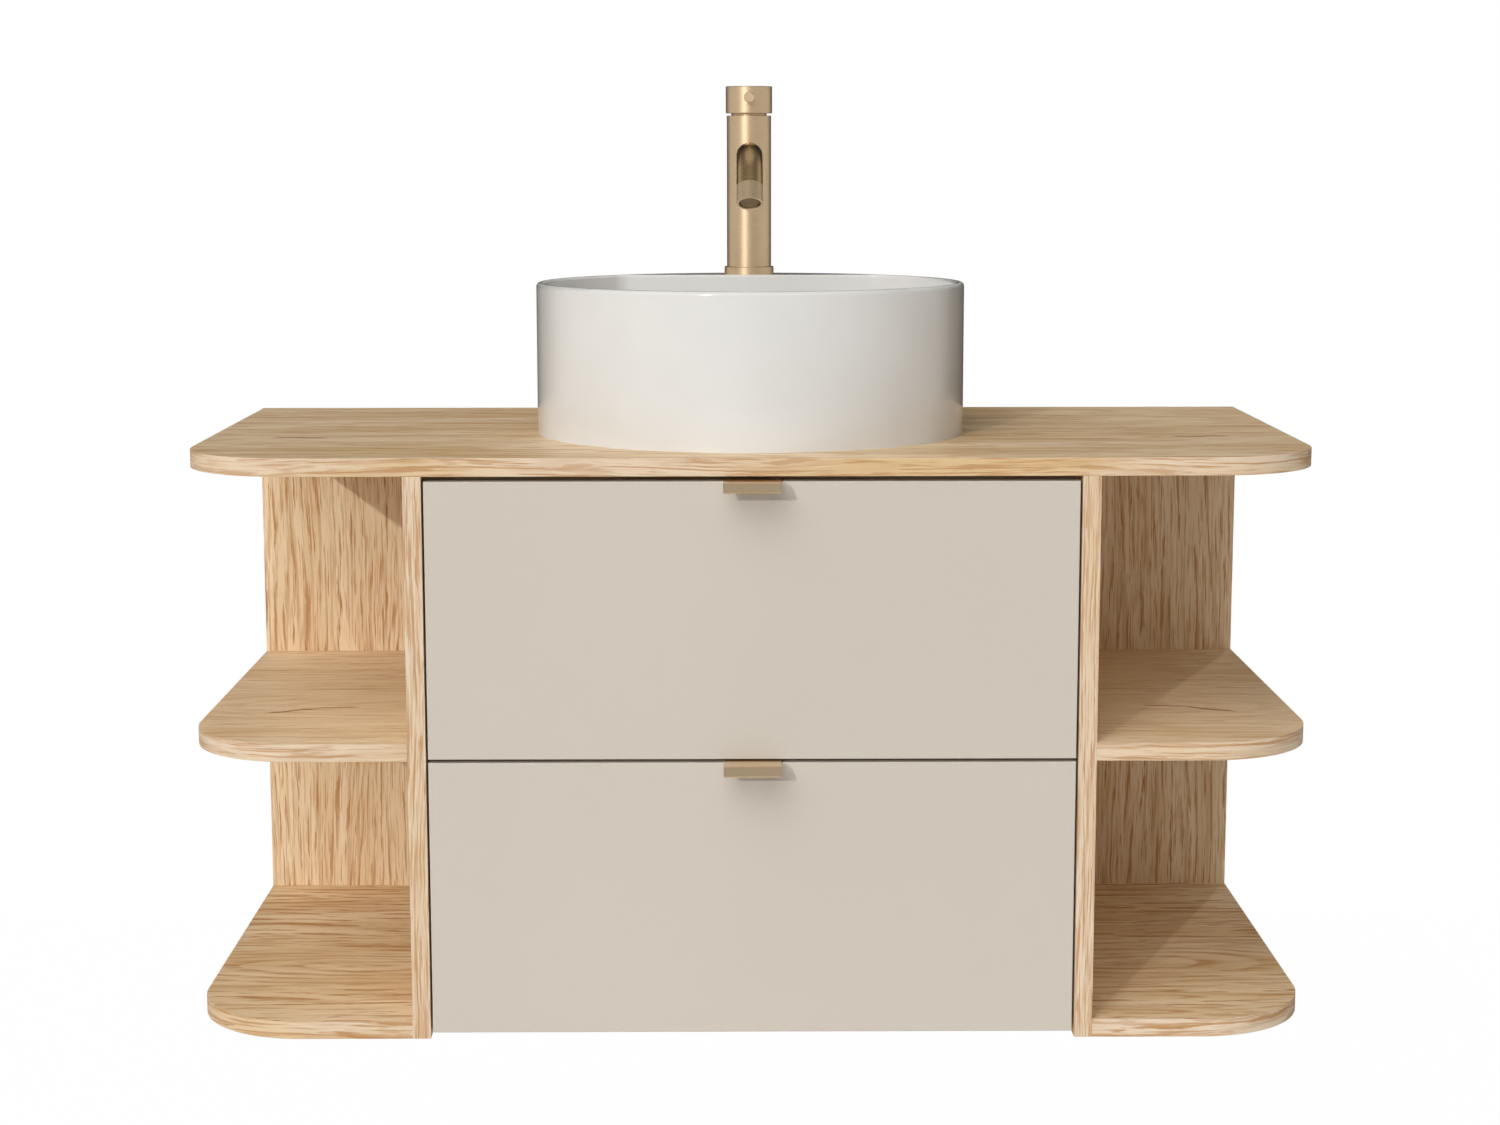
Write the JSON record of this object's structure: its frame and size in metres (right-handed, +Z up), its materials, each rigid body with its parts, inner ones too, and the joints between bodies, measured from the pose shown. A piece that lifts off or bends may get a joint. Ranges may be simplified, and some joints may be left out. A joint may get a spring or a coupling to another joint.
{
  "type": "vessel sink on vanity",
  "caption": "Wall-hung oak vanity with rounded open side shelves, greige drawers with edge pulls, and a round white countertop basin with a brushed brass lever mixer.",
  "frame": {"origin": "on the wall plane, on the centre line, at the underside of the cabinet", "axes": "+X to the right as seen from the front, +Y into the wall, +Z up; the drawers open along -Y"},
  "size_m": [1, 0.506, 0.8414],
  "materials": {
    "oak": "natural oak veneer, matt lacquered",
    "carcass_board": "oak-faced board, matt",
    "drawer_board": "melamine-faced board, matt",
    "dowel_wood": "fluted beech",
    "front_lacquer": "greige matt lacquer",
    "brushed_brass": "brushed champagne",
    "bare_brass": "machined",
    "runner_steel": "zinc plated",
    "screw_steel": "zinc plated",
    "white_plastic": "moulded polypropylene",
    "cartridge_plastic": "moulded",
    "aerator_plastic": "moulded mesh",
    "ceramic": "gloss white glaze",
    "rubber": "matt"
  },
  "bodies": {
    "cabinet": {"aerator": "aerator_plastic", "basin": "ceramic", "bottom_panel": "carcass_board", "cartridge": "cartridge_plastic", "cartridge_ring": "brushed_brass", "countertop": "oak", "dowels": "dowel_wood", "front_rail": "carcass_board", "left_back_panel": "oak", "left_bottom_shelf": "oak", "left_middle_shelf": "oak", "left_side_panel": "oak", "right_back_panel": "oak", "right_bottom_shelf": "oak", "right_middle_shelf": "oak", "right_side_panel": "oak", "rubber_washers": "rubber", "runner_rails": "runner_steel", "runner_screws": "screw_steel", "spout_collar": "brushed_brass", "spout_tube": "brushed_brass", "tap_body": "brushed_brass", "tap_flange": "brushed_brass", "tap_nut": "bare_brass", "tap_washer": "screw_steel", "trap_bottle": "white_plastic", "trap_head": "white_plastic", "trap_inlet_pipe": "white_plastic", "trap_nuts": "white_plastic", "trap_outlet_pipe": "white_plastic", "wall_rail_bottom": "carcass_board", "wall_rail_top": "carcass_board", "waste_body": "brushed_brass", "waste_nut": "white_plastic"},
    "upper_drawer": {"upper_drawer_front": "front_lacquer", "upper_drawer_left_side": "drawer_board", "upper_drawer_right_side": "drawer_board", "upper_drawer_back": "drawer_board", "upper_drawer_bottom": "drawer_board", "upper_pull": "brushed_brass", "upper_pull_screws": "screw_steel", "upper_runner_members": "runner_steel", "siphon_guard": "white_plastic"},
    "lower_drawer": {"lower_drawer_front": "front_lacquer", "lower_drawer_left_side": "drawer_board", "lower_drawer_right_side": "drawer_board", "lower_drawer_back": "drawer_board", "lower_drawer_bottom": "drawer_board", "lower_pull": "brushed_brass", "lower_pull_screws": "screw_steel", "lower_runner_members": "runner_steel"},
    "upper_slides": {"upper_runner_slides": "runner_steel"},
    "lower_slides": {"lower_runner_slides": "runner_steel"},
    "carrier": {"cartridge_carrier": "bare_brass", "rocker_pin": "screw_steel"},
    "handle": {"handle_cap": "brushed_brass", "handle_lever": "brushed_brass", "lever_block": "bare_brass", "handle_grub_screw": "screw_steel"},
    "plug": {"drain_plug": "brushed_brass"}
  },
  "joints": [
    {"name": "upper_drawer_slide", "type": "slide", "parent": "cabinet", "child": "upper_drawer", "axis": [0, -1, 0], "range_m": [0, 0.38]},
    {"name": "upper_runner_travel", "type": "slide", "parent": "cabinet", "child": "upper_slides", "axis": [0, -1, 0], "range_m": [0, 0.19]},
    {"name": "lower_drawer_slide", "type": "slide", "parent": "cabinet", "child": "lower_drawer", "axis": [0, -1, 0], "range_m": [0, 0.38]},
    {"name": "lower_runner_travel", "type": "slide", "parent": "cabinet", "child": "lower_slides", "axis": [0, -1, 0], "range_m": [0, 0.19]},
    {"name": "handle_turn", "type": "hinge", "parent": "cabinet", "child": "carrier", "pos_m": [0, -0.0655, 0.8128], "axis": [0, 0, 1], "range_deg": [-50, 50]},
    {"name": "handle_lift", "type": "hinge", "parent": "carrier", "child": "handle", "pos_m": [0, -0.0525, 0.826], "axis": [-1, 0, 0], "range_deg": [0, 12]},
    {"name": "plug_lift", "type": "slide", "parent": "cabinet", "child": "plug", "axis": [0, 0, 1], "range_m": [0, 0.008]}
  ],
  "couplings": [
    {"joint": "upper_runner_travel", "follows": "upper_drawer_slide", "ratio": 0.5},
    {"joint": "lower_runner_travel", "follows": "lower_drawer_slide", "ratio": 0.5}
  ]
}
